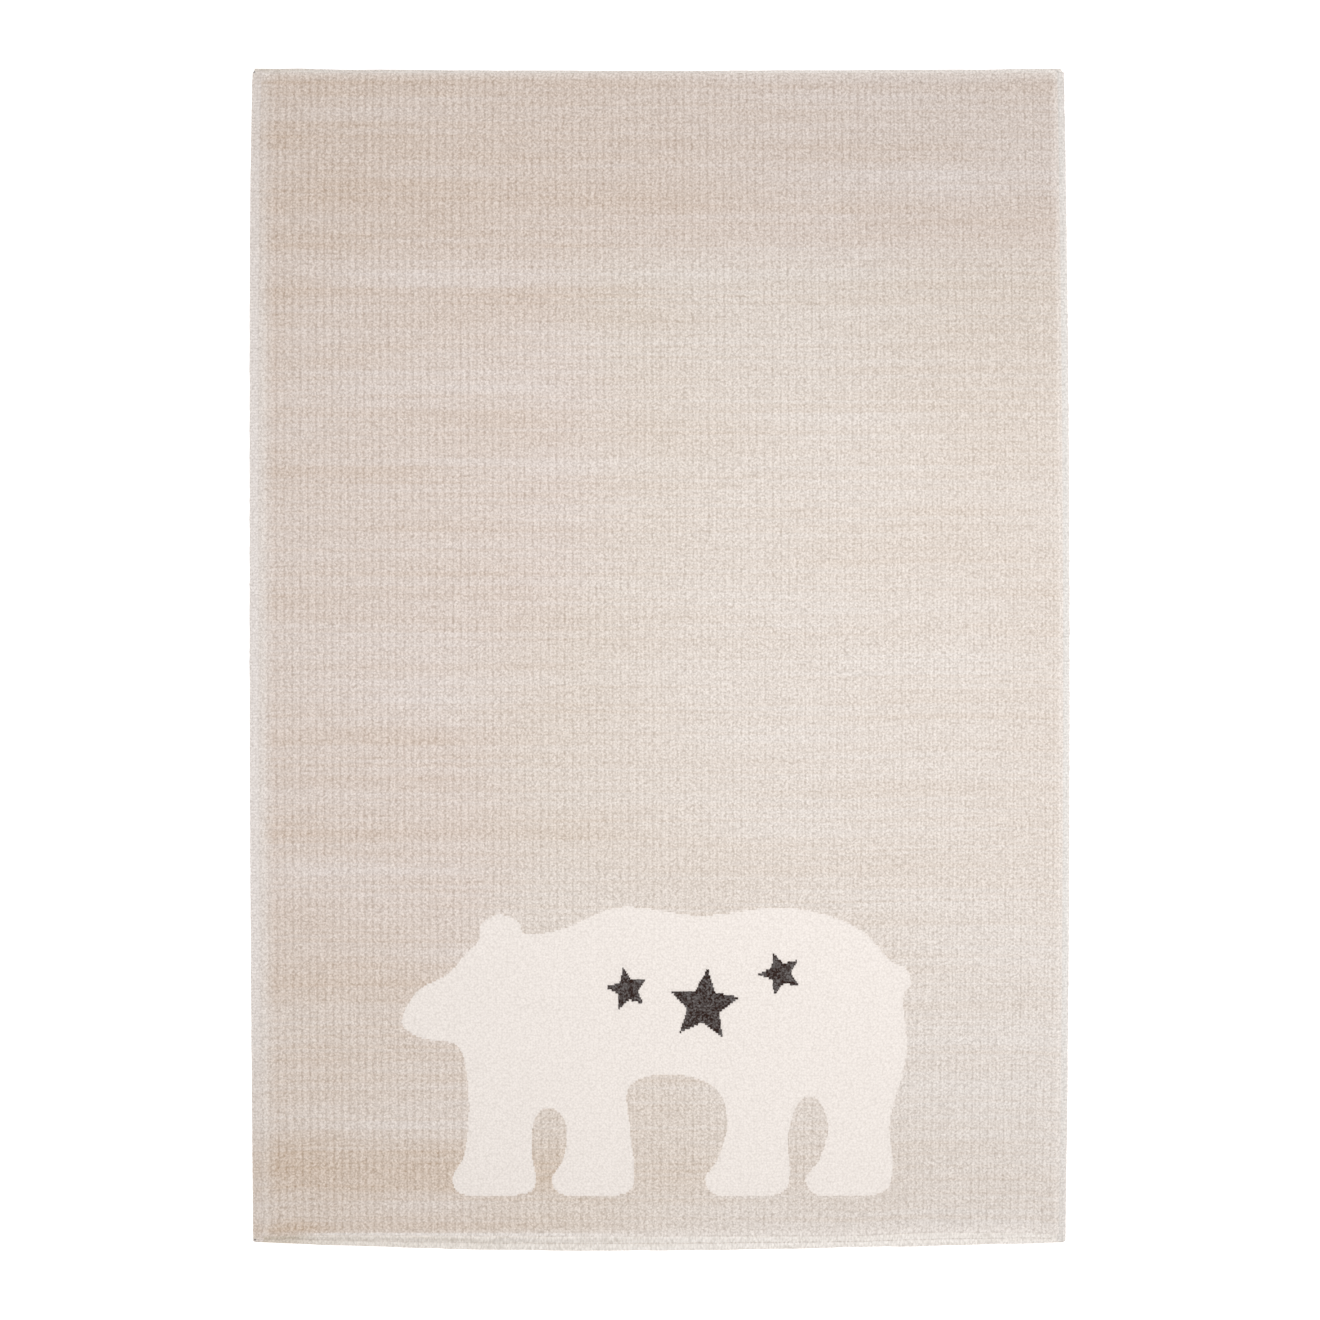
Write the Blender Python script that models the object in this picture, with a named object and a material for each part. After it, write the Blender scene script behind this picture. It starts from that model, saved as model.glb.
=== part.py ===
"""Children's rug: cut pile in lengthwise ribs, a hem at each end, an overcast yarn edge on each side.

Blender 4.5, metres, +Z up.  The rug lies on its back at z = 0, with the middle of its outline at the
origin.  +X runs across its width and +Y along its length; the wide hem is at the -Y end.
"""
import math
from collections import namedtuple

import bmesh
import bpy

# ---- driving dimensions ---------------------------------------------------------------------
WIDTH = 1.3366            # across the middle, over both bound edges
LENGTH = 1.9230           # over the crown of the front hem
FRONT_BOW = 0.0130        # the front hem swells out by this much between its corners
BACK_HOLLOW = 0.0030      # the back end draws in by this much between its corners

RIBS = 100                # lengthwise ribs of the pile
RIBS_A_PANEL = 4          # ribs between two points of a hem
PILE_SPANS = 8            # lengthwise spans of the pile
PILE_LEAN = 0.0015        # the pile's end walls lean back by this much

TONGUE_UNDER = 0.0015     # the bare ground cloth that the yarn edges wrap: its underside
TONGUE_TOP = 0.0037       # and its top
BINDING_WALL = 0.0030     # yarn outside the ground cloth's edge
GAP = 0.0003              # between the rug and a yarn edge

# How a side draws in towards one of its ends, and how evenly (a high power keeps the side straight
# until near the end), and the radius of the corner there.
SideEnd = namedtuple("SideEnd", "bow power radius")

# Each side of the rug: sign of x, the width of its yarn edge, and its two ends.
Side = namedtuple("Side", "name sign band front back")
SIDES = (
    Side("left", -1, 0.0180, SideEnd(0.0060, 1.6, 0.0025), SideEnd(0.0050, 6.0, 0.0025)),
    Side("right", +1, 0.0145, SideEnd(0.0072, 2.3, 0.0030), SideEnd(0.0095, 2.0, 0.0065)),
)

# Each end of the rug: sign of y, its corners' y, how far it swells out between them, where across
# the width the swell is greatest, and the powers of its fall to the left and to the right.
End = namedtuple("End", "name sign corner_y swell crown_at left_power right_power")
FRONT = End("front", -1, -LENGTH / 2 + FRONT_BOW, FRONT_BOW, 0.44, 1.8, 1.4)
BACK = End("back", +1, LENGTH / 2, -BACK_HOLLOW, 0.48, 2.0, 2.0)

# How far the pile's foot lies inside the line through an end's corners: the pile ends almost
# straight, so the front hem is widest where its edge swells out.
FootPoint = namedtuple("FootPoint", "across inset")
PILE_FOOT = {
    "front": (
        FootPoint(0.00, 0.0114),
        FootPoint(0.05, 0.0147),
        FootPoint(0.74, 0.0147),
        FootPoint(0.84, 0.0202),
        FootPoint(0.96, 0.0202),
        FootPoint(1.00, 0.0163),
    ),
    "back": (
        FootPoint(0.00, 0.0090),
        FootPoint(1.00, 0.0090),
    ),
}

# A hem from its edge to the pile's foot: a rolled lip, a swell, the sewn-down crease, an inner swell.
HemPoint = namedtuple("HemPoint", "share height")
HEM = (
    HemPoint(0.00, 0.0040),
    HemPoint(0.07, 0.0048),
    HemPoint(0.26, 0.0050),
    HemPoint(0.44, 0.0042),
    HemPoint(0.64, 0.0051),
    HemPoint(1.00, 0.0047),
)

# One rib across its pitch, from groove to groove.
RibPoint = namedtuple("RibPoint", "share height")
RIB = (
    RibPoint(0.00, 0.0097),
    RibPoint(0.22, 0.0107),
    RibPoint(0.50, 0.0110),
    RibPoint(0.78, 0.0107),
)

# The yarn edge's outside, from its inner top corner over the edge of the rug to its flat underside:
# `depth` is measured inwards from the outer edge, as a share of the width or in metres.
BindingPoint = namedtuple("BindingPoint", "share depth height")
BINDING = (
    BindingPoint(1.00, 0.0000, 0.0050),
    BindingPoint(0.86, 0.0000, 0.0057),
    BindingPoint(0.36, 0.0000, 0.0059),
    BindingPoint(0.00, 0.0034, 0.0050),
    BindingPoint(0.00, 0.0010, 0.0037),
    BindingPoint(0.00, 0.0000, 0.0023),
    BindingPoint(0.00, 0.0006, 0.0009),
    BindingPoint(0.00, 0.0024, 0.0000),
    BindingPoint(1.00, 0.0000, 0.0000),
)

Finish = namedtuple("Finish", "name colour roughness")
PILE_FINISH = Finish("pile", (0.63, 0.54, 0.46, 1.0), 0.95)
BINDING_FINISH = Finish("binding_yarn", (0.74, 0.66, 0.60, 1.0), 0.9)


# ---- the outline ----------------------------------------------------------------------------
def mix(low, high, share):
    return low + (high - low) * share


def bowed_x(side, y):
    """The side's outer edge at y, as if its corners were square."""
    middle = (FRONT.corner_y + BACK.corner_y) / 2
    reach = (BACK.corner_y - FRONT.corner_y) / 2
    end = side.front if y < middle else side.back
    return side.sign * (WIDTH / 2 - end.bow * abs((y - middle) / reach) ** end.power)


def corner_inset(side, y):
    """How far a rounded corner draws the side in at y."""
    inset = 0.0
    for end, radius in ((FRONT, side.front.radius), (BACK, side.back.radius)):
        from_end = abs(end.corner_y - y)
        if from_end < radius:
            inset = radius - math.sqrt(radius ** 2 - (radius - from_end) ** 2)
    return inset


def edge_x(side, y):
    return bowed_x(side, y) - side.sign * corner_inset(side, y)


def inner_x(side, y):
    """The line where the pile and the hems stop and the yarn edge starts."""
    return bowed_x(side, y) - side.sign * side.band


def end_y(end, across):
    """The outer edge of a hem at a share of the way across the rug."""
    if across < end.crown_at:
        off_crown = (end.crown_at - across) / end.crown_at
        power = end.left_power
    else:
        off_crown = (across - end.crown_at) / (1 - end.crown_at)
        power = end.right_power
    return end.corner_y + end.sign * end.swell * (1 - off_crown ** power)


def foot_y(end, across):
    """The pile's foot, eased from one listed point to the next."""
    points = PILE_FOOT[end.name]
    for low, high in zip(points, points[1:]):
        if across <= high.across:
            share = (across - low.across) / (high.across - low.across)
            eased = (1 - math.cos(math.pi * share)) / 2
            return end.corner_y - end.sign * mix(low.inset, high.inset, eased)
    return end.corner_y - end.sign * points[-1].inset


# ---- the rug --------------------------------------------------------------------------------
def row_points(columns, y_of, height_of):
    """One row of points across the rug; y_of and height_of take the share across and the column."""
    points = []
    for index, across in enumerate(columns):
        y = y_of(across)
        x = mix(inner_x(SIDES[0], y), inner_x(SIDES[1], y), across)
        points.append((x, y, height_of(index)))
    return points


def hem_columns():
    panels = RIBS // RIBS_A_PANEL
    return [panel / panels for panel in range(panels + 1)]


def rib_columns():
    columns = [(rib + point.share) / RIBS for rib in range(RIBS) for point in RIB]
    return columns + [1.0]


def panel_y(end, across):
    """The pile's end follows straight lines between the points of its hem."""
    columns = hem_columns()
    panel = min(int(across * (len(columns) - 1)), len(columns) - 2)
    share = across * (len(columns) - 1) - panel
    ends = [foot_y(end, columns[panel]), foot_y(end, columns[panel + 1])]
    return mix(ends[0], ends[1], share) - end.sign * PILE_LEAN


def hem_rows(end):
    """Rows from the hem's edge to the pile's foot."""
    rows = []
    for point in HEM:
        def y_of(across, point=point):
            return mix(end_y(end, across), foot_y(end, across), point.share)
        rows.append(row_points(hem_columns(), y_of, lambda index, point=point: point.height))
    return rows


def pile_rows():
    """Rows of ribbed pile from the front to the back."""
    rows = []
    for span in range(PILE_SPANS + 1):
        def y_of(across, share=span / PILE_SPANS):
            return mix(panel_y(FRONT, across), panel_y(BACK, across), share)
        rows.append(row_points(rib_columns(), y_of, lambda index: RIB[index % len(RIB)].height))
    return rows


def rug_rows():
    return hem_rows(FRONT) + pile_rows() + hem_rows(BACK)[::-1]


def tongue_points(side, y):
    """The ground cloth beyond the pile: out along its top, back along its underside, and down."""
    inner = inner_x(side, y)
    outer = edge_x(side, y) - side.sign * BINDING_WALL
    return [
        (inner, y, TONGUE_TOP),
        (outer, y, TONGUE_TOP),
        (outer, y, TONGUE_UNDER),
        (inner, y, TONGUE_UNDER),
        (inner, y, 0.0),
    ]


def add_points(mesh, points):
    return [mesh.verts.new(point) for point in points]


def skin_between(mesh, row, following):
    """Faces between two rows of one count, or panels where a hem meets the finer ribs."""
    steps = min(len(row), len(following)) - 1
    stride = (len(row) - 1) // steps
    stride_following = (len(following) - 1) // steps
    for step in range(steps):
        near = row[step * stride:(step + 1) * stride + 1]
        far = following[step * stride_following:(step + 1) * stride_following + 1]
        mesh.faces.new(near + far[::-1])


def tongue_faces(mesh, tops, tongues):
    """The side of the rug, from the last column of the face over the tongue to the floor."""
    strips = [[top] + tongue for top, tongue in zip(tops, tongues)]
    for near, far in zip(strips, strips[1:]):
        for index in range(len(near) - 1):
            mesh.faces.new((near[index], near[index + 1], far[index + 1], far[index]))


def end_faces(mesh, tops, unders, tongues):
    """A hem's edge: a face below each pair of its points, and the two ends of the tongues."""
    last = len(tops) - 2
    for index in range(last + 1):
        corners = [tops[index], tops[index + 1]]
        if index == last:
            corners += [tongues[1][0], tongues[1][3]]
        corners += [unders[index + 1], unders[index]]
        if index == 0:
            corners += [tongues[0][3], tongues[0][0]]
        mesh.faces.new(corners)
    for tongue in tongues:
        mesh.faces.new(tongue[:4])


def rug_mesh():
    mesh = bmesh.new()
    rows = [add_points(mesh, points) for points in rug_rows()]
    for row, following in zip(rows, rows[1:]):
        skin_between(mesh, row, following)

    tongues = {}
    for side, column in zip(SIDES, (0, -1)):
        tongues[side] = [add_points(mesh, tongue_points(side, row[column].co.y)) for row in rows]
        tongue_faces(mesh, [row[column] for row in rows], tongues[side])

    left, right = (tongues[side] for side in SIDES)
    floor_rows = []
    for index in (0, -1):
        middle = add_points(mesh, [(top.co.x, top.co.y, 0.0) for top in rows[index][1:-1]])
        floor_rows.append([left[index][-1]] + middle + [right[index][-1]])
        end_faces(mesh, rows[index], floor_rows[-1], (left[index], right[index]))

    right_floor = [tongue[-1] for tongue in right[1:-1]]
    left_floor = [tongue[-1] for tongue in left[1:-1]]
    mesh.faces.new(floor_rows[0] + right_floor + floor_rows[1][::-1] + left_floor[::-1])
    return mesh


# ---- the yarn edges -------------------------------------------------------------------------
def binding_ring(side, y):
    """The yarn edge's section at y: its outside, then the slot that holds the ground cloth."""
    outer = edge_x(side, y)
    width = abs(inner_x(side, y) - outer) - GAP
    slot = BINDING_WALL - GAP
    outline = [(point.share * width + point.depth, point.height) for point in BINDING]
    outline += [
        (width, TONGUE_UNDER - GAP),
        (slot, TONGUE_UNDER - GAP),
        (slot, TONGUE_TOP + GAP),
        (width, TONGUE_TOP + GAP),
    ]
    return [(outer - side.sign * depth, y, height) for depth, height in outline]


def binding_mesh(side, column):
    mesh = bmesh.new()
    stations = [points[column][1] for points in rug_rows()]
    rings = [add_points(mesh, binding_ring(side, y)) for y in stations]
    for near, far in zip(rings, rings[1:]):
        for index in range(len(near)):
            following = (index + 1) % len(near)
            mesh.faces.new((near[index], near[following], far[following], far[index]))
    mesh.faces.new(rings[0])
    mesh.faces.new(rings[-1])
    return mesh


# ---- objects --------------------------------------------------------------------------------
def material(finish):
    made = bpy.data.materials.new(finish.name)
    made.use_nodes = True
    shader = made.node_tree.nodes["Principled BSDF"]
    shader.inputs["Base Color"].default_value = finish.colour
    shader.inputs["Roughness"].default_value = finish.roughness
    shader.inputs["Metallic"].default_value = 0.0
    return made


def add_object(name, mesh, finish):
    bmesh.ops.recalc_face_normals(mesh, faces=mesh.faces)
    bmesh.ops.triangulate(mesh, faces=[face for face in mesh.faces if len(face.verts) > 4])
    data = bpy.data.meshes.new(name)
    mesh.to_mesh(data)
    mesh.free()
    data.materials.append(material(finish))
    data.shade_smooth()
    data.set_sharp_from_angle(angle=math.radians(50))
    made = bpy.data.objects.new(name, data)
    bpy.context.scene.collection.objects.link(made)


def main():
    for old in list(bpy.data.objects):
        bpy.data.objects.remove(old, do_unlink=True)
    add_object("rug_body", rug_mesh(), PILE_FINISH)
    for side, column in zip(SIDES, (0, -1)):
        add_object(f"edge_binding_{side.name}", binding_mesh(side, column), BINDING_FINISH)


main()
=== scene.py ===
# %% [markdown]
# # A children's rug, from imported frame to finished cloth
# The rug is machine woven: a ground cloth carries a cut pile that stands in soft lengthwise ribs.
# Both ends are turned under and sewn, and both sides are overcast with thick yarn.  This lesson
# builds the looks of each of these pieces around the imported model, which gives the true size.

# %% Load the frame
import math
from collections import namedtuple

import bmesh
import bpy
import numpy as np
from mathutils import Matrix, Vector


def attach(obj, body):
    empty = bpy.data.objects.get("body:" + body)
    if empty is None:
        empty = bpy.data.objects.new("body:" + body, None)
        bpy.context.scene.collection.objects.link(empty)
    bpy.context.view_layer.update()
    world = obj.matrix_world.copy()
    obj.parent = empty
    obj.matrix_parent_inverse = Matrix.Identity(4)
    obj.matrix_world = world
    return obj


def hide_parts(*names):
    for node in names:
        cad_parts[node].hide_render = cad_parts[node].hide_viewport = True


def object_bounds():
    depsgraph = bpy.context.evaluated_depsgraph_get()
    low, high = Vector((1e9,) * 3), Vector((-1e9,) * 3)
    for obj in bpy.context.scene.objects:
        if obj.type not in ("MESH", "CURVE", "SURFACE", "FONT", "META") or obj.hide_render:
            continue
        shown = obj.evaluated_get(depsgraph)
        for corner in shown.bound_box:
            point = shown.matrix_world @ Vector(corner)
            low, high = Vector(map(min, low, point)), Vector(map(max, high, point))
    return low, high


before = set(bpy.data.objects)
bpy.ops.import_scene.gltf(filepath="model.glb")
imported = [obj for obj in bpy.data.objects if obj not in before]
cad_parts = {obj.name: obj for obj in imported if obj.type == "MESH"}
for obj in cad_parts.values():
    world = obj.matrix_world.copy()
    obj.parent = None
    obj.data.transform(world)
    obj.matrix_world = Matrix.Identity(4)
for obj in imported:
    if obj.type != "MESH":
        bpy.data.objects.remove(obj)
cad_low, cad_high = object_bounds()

MM = 0.001

# %% [markdown]
# ## The rug's plan
# A real rug is never a true rectangle.  Its sides bow, its front hem swells out between the
# corners, and its back end is a little hollow.  Every piece below is first made on a straight plan,
# where an array of ribs or stitches is easy, and is then settled onto the crooked outline by one
# function, which also keeps every point above the floor.  The numbers are the same named sizes
# that the solids were built from.

# %% Sizes of the plan
width = cad_high.x - cad_low.x
length = cad_high.y - cad_low.y
FRONT_BOW = 13 * MM
BACK_HOLLOW = 3 * MM
RIBS = 100

SideEnd = namedtuple("SideEnd", "bow power radius")
Side = namedtuple("Side", "name sign band front back")
LEFT = Side("left", -1, 18.0 * MM,
            SideEnd(6.0 * MM, 1.6, 2.5 * MM), SideEnd(5.0 * MM, 6.0, 2.5 * MM))
RIGHT = Side("right", +1, 14.5 * MM,
             SideEnd(7.2 * MM, 2.3, 3.0 * MM), SideEnd(9.5 * MM, 2.0, 6.5 * MM))

End = namedtuple("End", "sign corner_y swell crown_at left_power right_power foot across inset")
FRONT = End(-1, -length / 2 + FRONT_BOW, FRONT_BOW, 0.44, 1.8, 1.4, 14.7 * MM,
            (0.0, 0.05, 0.74, 0.84, 0.96, 1.0),
            tuple(inset * MM for inset in (11.4, 14.7, 14.7, 20.2, 20.2, 16.3)))
BACK = End(+1, length / 2, -BACK_HOLLOW, 0.48, 2.0, 2.0, 9.0 * MM,
           (0.0, 1.0), (9.0 * MM, 9.0 * MM))

TURN = 5.0 * MM  # one turn of the overcast yarn along an edge
CREASE_SHARE = 0.36  # the sewn crease of a hem, as a share of the way from its edge to the pile
RIDGE_SHARE = 0.68  # the ridge of a hem
LIT_SHARE = 0.82  # the slope of the ridge towards the pile, which catches the light

left_inner = -width / 2 + LEFT.band
right_inner = width / 2 - RIGHT.band
front_foot = FRONT.corner_y + FRONT.foot
back_foot = BACK.corner_y - BACK.foot
rib_pitch = (right_inner - left_inner) / RIBS
print(f"plan {width:.3f} x {length:.3f} m, {RIBS} ribs {rib_pitch * 1000:.2f} mm apart")

# %% [markdown]
# ## From the straight plan to the crooked rug
# `end_line` is the outer edge of a hem, `foot_line` the row where the pile stops.  Between them a
# piece is stretched lengthwise, and across the rug it is drawn in with the bow of its sides.

# %% Lines of the ends
def end_line(end, across):
    """The outer edge of a hem at a share of the way across the rug."""
    left = (end.crown_at - across) / end.crown_at
    right = (across - end.crown_at) / (1 - end.crown_at)
    off_crown = np.where(across < end.crown_at,
                         np.clip(left, 0, 1) ** end.left_power,
                         np.clip(right, 0, 1) ** end.right_power)
    return end.corner_y + end.sign * end.swell * (1 - off_crown)


def foot_line(end, across):
    """Where the pile stops, eased from one listed inset to the next."""
    knots, insets = np.array(end.across), np.array(end.inset)
    after = np.clip(np.searchsorted(knots, across), 1, len(knots) - 1)
    share = np.clip((across - knots[after - 1]) / (knots[after] - knots[after - 1]), 0, 1)
    eased = (1 - np.cos(np.pi * share)) / 2
    inset = insets[after - 1] + (insets[after] - insets[after - 1]) * eased
    return end.corner_y - end.sign * inset


# %% Draw in the sides
def drawn_in(side, y):
    """How far the bow of a side draws it in at y."""
    middle = (FRONT.corner_y + BACK.corner_y) / 2
    reach = (BACK.corner_y - FRONT.corner_y) / 2
    off_middle = np.clip((y - middle) / reach, -1, 1)
    return np.where(off_middle < 0,
                    side.front.bow * np.abs(off_middle) ** side.front.power,
                    side.back.bow * np.abs(off_middle) ** side.back.power)


def corner_inset(side, y):
    """How far a rounded corner draws the side in at y."""
    inset = np.zeros_like(y)
    for end, radius in ((FRONT, side.front.radius), (BACK, side.back.radius)):
        short = np.clip(radius - np.abs(end.corner_y - y), 0, radius)
        inset += radius - np.sqrt(radius ** 2 - short ** 2)
    return inset


# %% Settle a piece
def settled(x, y, z):
    """Plan places to real places."""
    across = np.clip((x - left_inner) / (right_inner - left_inner), 0, 1)
    ends = [end_line(FRONT, across), foot_line(FRONT, across),
            foot_line(BACK, across), end_line(BACK, across)]
    plan = [FRONT.corner_y, front_foot, back_foot, BACK.corner_y]
    span = np.clip(np.searchsorted(plan, y) - 1, 0, 2)
    low, high = np.choose(span, plan[:3]), np.choose(span, plan[1:])
    real_low, real_high = np.choose(span, ends[:3]), np.choose(span, ends[1:])
    new_y = real_low + (real_high - real_low) * (y - low) / (high - low)

    new_x = x + drawn_in(LEFT, new_y) * (1 - across) - drawn_in(RIGHT, new_y) * across
    new_x += corner_inset(LEFT, new_y) * np.clip((left_inner - x) / LEFT.band, 0, 1)
    new_x -= corner_inset(RIGHT, new_y) * np.clip((x - right_inner) / RIGHT.band, 0, 1)
    return new_x, new_y, np.maximum(z, 0)


def move_points(piece, rule):
    """Moves every point of a piece by a rule that takes and gives x, y and z."""
    places = np.empty(len(piece.data.vertices) * 3, np.float32)
    piece.data.vertices.foreach_get("co", places)
    moved = rule(*places.reshape(-1, 3).astype(float).T)
    piece.data.vertices.foreach_set("co", np.stack(moved, axis=1).astype(np.float32).ravel())
    piece.data.update()


def settle(piece):
    """Moves a piece from the straight plan onto the crooked rug."""
    move_points(piece, settled)


# %% [markdown]
# ## The camera
# The rug was photographed from straight above, so the camera hangs over its middle and looks
# down through a long lens.  The picture is square and takes in a little more than the length.

# %% Camera
PICTURE = 1320  # pixels along a side of the picture
RUG_PIXELS = 1180  # the rug's length in that picture
MIDDLE_PIXEL = (659.7, 659.5)  # the middle of the rug's outline in that picture
LENS = 85.0
SENSOR = 36.0
SIGHT = 200.0  # how far the camera sees, beyond the studio's wall

metres_a_pixel = length / RUG_PIXELS
camera_height = PICTURE * metres_a_pixel * LENS / SENSOR
bpy.ops.object.camera_add(location=(
    (PICTURE / 2 - MIDDLE_PIXEL[0]) * metres_a_pixel,
    -(PICTURE / 2 - MIDDLE_PIXEL[1]) * metres_a_pixel,
    camera_height), rotation=(0, 0, 0))
camera = bpy.context.object
camera.data.lens = LENS
camera.data.sensor_width = SENSOR
camera.data.clip_end = SIGHT
bpy.context.scene.camera = camera
bpy.context.scene.view_settings.view_transform = "Standard"
print(f"camera {camera_height:.2f} m up, {metres_a_pixel * 1000:.3f} mm a pixel")

# %% [markdown]
# ## Hands for modelling
# A modelling operator acts on all that is selected.  These helpers clear the selection, open one
# piece in edit mode, and pick its points by their place.

# %% Select and pick
NEAR = 0.1 * MM  # a point this close to a line counts as on it
MERGE = 0.05 * MM  # points this close together become one


def leave_edit():
    bpy.ops.object.mode_set(mode="OBJECT")


def deselect():
    if bpy.context.mode != "OBJECT":
        leave_edit()
    bpy.ops.object.select_all(action="DESELECT")


def only(piece):
    """Selects one piece and makes it the active one."""
    deselect()
    piece.select_set(True)
    bpy.context.view_layer.objects.active = piece


def edit(piece, kind="VERT", action="DESELECT"):
    """Opens one piece in edit mode, with all or none of it selected."""
    only(piece)
    bpy.ops.object.mode_set(mode="EDIT")
    bpy.ops.mesh.select_mode(type=kind)
    bpy.ops.mesh.select_all(action=action)


def pick(piece, test):
    """In edit mode, selects the points whose place passes the test, and nothing else."""
    bpy.ops.mesh.select_mode(type="VERT")
    bpy.ops.mesh.select_all(action="DESELECT")
    mesh = bmesh.from_edit_mesh(piece.data)
    for point in mesh.verts:
        point.select = bool(test(point.co))
    mesh.select_flush(True)
    bmesh.update_edit_mesh(piece.data)


# %% Move and extrude what is selected
def move_by(x, y, z):
    bpy.ops.transform.translate(value=(x, y, z))


def extrude(x, y, z):
    """Extrudes the selected edges, and moves what is new."""
    bpy.ops.mesh.extrude_edges_move(TRANSFORM_OT_translate={"value": (x, y, z)})


# %% Name a piece, and apply its modifiers
def name_piece(name):
    """Names the piece that was just made."""
    piece = bpy.context.object
    piece.name = piece.data.name = name
    return piece


def apply_all(piece):
    only(piece)
    for modifier in list(piece.modifiers):
        bpy.ops.object.modifier_apply(modifier=modifier.name)


def array(piece, count, step):
    """Copies in a row, joined where they meet."""
    copies = piece.modifiers.new("row", "ARRAY")
    copies.count = count
    copies.use_relative_offset = False
    copies.use_constant_offset = True
    copies.constant_offset_displace = step
    copies.use_merge_vertices = True
    copies.merge_threshold = MERGE
    apply_all(piece)


def uneven(piece, axis, size, amount):
    """Moves the points along an axis by a soft cloud pattern, as hands and wear do."""
    cloud = bpy.data.textures.new("unevenness", "CLOUDS")
    cloud.noise_scale = size
    cloud.contrast = 1.6
    push = piece.modifiers.new("uneven", "DISPLACE")
    push.texture = cloud
    push.texture_coords = "GLOBAL"
    push.direction = axis
    push.strength = amount
    push.mid_level = 0.5
    apply_all(piece)


# %% Keep the plan, smooth and dress
def keep_plan(piece):
    """Stores the straight plan as a UV map in metres, so that patterns follow the ribs."""
    mesh = piece.data
    corners = np.empty(len(mesh.loops), np.int32)
    mesh.loops.foreach_get("vertex_index", corners)
    places = np.empty(len(mesh.vertices) * 3, np.float32)
    mesh.vertices.foreach_get("co", places)
    layer = mesh.uv_layers.get("plan") or mesh.uv_layers.new(name="plan")
    layer.data.foreach_set("uv", places.reshape(-1, 3)[corners, :2].ravel())


def smooth(piece, degrees=60):
    """Smooth shading, with a crisp line only where faces meet at more than the angle."""
    only(piece)
    bpy.ops.object.shade_smooth_by_angle(angle=math.radians(degrees))


def face_outwards():
    """In edit mode, turns every face outwards, and leaves edit mode."""
    bpy.ops.mesh.select_all(action="SELECT")
    bpy.ops.mesh.normals_make_consistent(inside=False)
    leave_edit()


def dress(piece, slot, *looks, degrees=60):
    """Settles a finished piece, and gives it its looks, shading and body; its slot is not used."""
    settle(piece)
    for look in looks:
        piece.data.materials.append(look)
    smooth(piece, degrees)
    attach(piece, "root")


# %% [markdown]
# ## Shader maths that reads as arithmetic
# A `Wire` is a socket that can be added and multiplied.  A `Look` is one material: it makes any
# node from its type, its settings and the values or wires of its sockets.

# %% A wire
class Wire:
    """A socket that takes part in sums."""

    def __init__(self, look, socket):
        self.look = look
        self.socket = socket

    def __add__(self, other):
        return self.look.maths("ADD", self, other)

    def __sub__(self, other):
        return self.look.maths("SUBTRACT", self, other)

    def __rsub__(self, other):
        return self.look.maths("SUBTRACT", other, self)

    def __mul__(self, other):
        return self.look.maths("MULTIPLY", self, other)

    __radd__ = __add__


# %% A look
class Look:
    """One material, and the nodes that can be added to it."""

    def __init__(self, name, finish):
        self.material = bpy.data.materials.new(name)
        self.material.use_nodes = True
        self.tree = self.material.node_tree
        self.shader = self.tree.nodes["Principled BSDF"]
        for socket, value in finish.items():
            self.shader.inputs[socket].default_value = value

    def node(self, kind, sockets, output=0, **settings):
        made = self.tree.nodes.new(kind)
        for setting, value in settings.items():
            setattr(made, setting, value)
        for key, value in sockets.items():
            if isinstance(value, Wire):
                self.tree.links.new(value.socket, made.inputs[key])
            else:
                made.inputs[key].default_value = value
        return Wire(self, made.outputs[output])

    def maths(self, operation, first, second=0.0, clamp=False):
        return self.node("ShaderNodeMath", {0: first, 1: second},
                         operation=operation, use_clamp=clamp)

    def plan(self):
        return self.node("ShaderNodeUVMap", {}, uv_map="plan")

    def place(self):
        return self.node("ShaderNodeTexCoord", {}, output="Object")

    def stretched(self, vector, scale, shift=(0.0, 0.0, 0.0)):
        return self.node("ShaderNodeMapping", {"Vector": vector, "Scale": scale, "Location": shift})

    def noise(self, vector, scale=1.0, detail=2.0, roughness=0.5):
        return self.node("ShaderNodeTexNoise", {"Vector": vector, "Scale": scale,
                                                "Detail": detail, "Roughness": roughness})

    def part(self, vector, axis):
        return self.node("ShaderNodeSeparateXYZ", {0: vector}, output=axis)

    def blend(self, first, second, share, how="MIX"):
        return self.node("ShaderNodeMix", {"Factor": share, 6: first, 7: second}, output=2,
                         data_type="RGBA", blend_type=how, clamp_factor=True)

    def scaled(self, colour, amount):
        return self.node("ShaderNodeVectorMath", {0: colour, "Scale": amount}, operation="SCALE")

    def grained(self, colour, tone, weight):
        """A colour made lighter and darker by equal greys, so that its dark tufts stay warm."""
        return self.node("ShaderNodeVectorMath", {0: colour, 1: (tone - 1.0) * weight}, operation="ADD")

    def range(self, value, low, high, to_low, to_high):
        return self.node("ShaderNodeMapRange", {"Value": value, "From Min": low, "From Max": high,
                                                "To Min": to_low, "To Max": to_high})

    def colour(self, wire):
        self.tree.links.new(wire.socket, self.shader.inputs["Base Color"])

    def roughness(self, wire):
        self.tree.links.new(wire.socket, self.shader.inputs["Roughness"])

    def bump(self, height, distance, strength=1.0):
        bump = self.node("ShaderNodeBump", {"Height": height, "Distance": distance,
                                            "Strength": strength}, output="Normal")
        self.tree.links.new(bump.socket, self.shader.inputs["Normal"])


# %% Colours by their screen values
def shade(red, green, blue):
    """A colour named by its 0 to 255 screen values, as the shader wants it."""
    linear = [((value / 255 + 0.055) / 1.055) ** 2.4 for value in (red, green, blue)]
    return (*linear, 1.0)
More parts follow.
